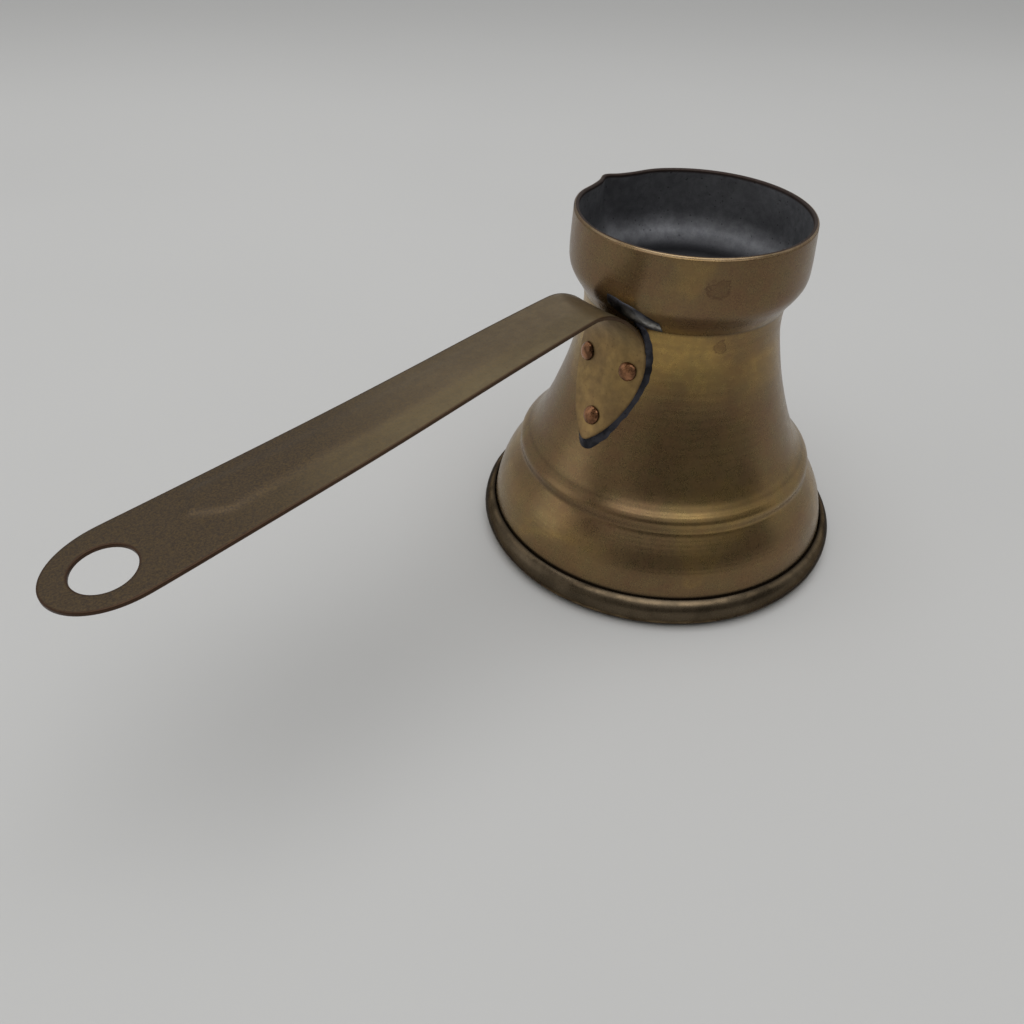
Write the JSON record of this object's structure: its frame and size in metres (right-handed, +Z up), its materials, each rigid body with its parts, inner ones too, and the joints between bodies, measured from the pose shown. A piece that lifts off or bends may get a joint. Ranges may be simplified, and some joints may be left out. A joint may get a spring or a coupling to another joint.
{
  "type": "turkish coffee pot cezve",
  "caption": "Long-handled coffee pot: flared spun brass body with a pinched pouring lip, rolled base hem and a riveted strap handle with a hanging hole.",
  "frame": {"origin": "centre of the underside of the base, on the pot's axis", "axes": "+Z up along the pot's axis; +X along the handle, towards its tip; the pouring lip points to -Y"},
  "size_m": [0.1704, 0.0794, 0.0735],
  "materials": {
    "body_brass": "spun brass, aged to an uneven brown and gold patina outside, dull grey tin inside",
    "base_brass": "spun brass, darker brown patina, worn brighter along the lip",
    "handle_brass": "rolled brass strap, dull brown patina, darker at the edges",
    "rivet_copper": "copper, hammered heads, worn bright on top",
    "solder": "soft solder, dull grey, tarnished nearly black at the edges"
  },
  "bodies": {
    "root": {"pot_body": "body_brass", "base_disc": "base_brass", "base_seam_solder": "solder", "handle": "handle_brass", "rivet_upper_left": "rivet_copper", "rivet_upper_right": "rivet_copper", "rivet_lower": "rivet_copper", "handle_solder": "solder", "collar_solder": "solder"}
  },
  "joints": []
}
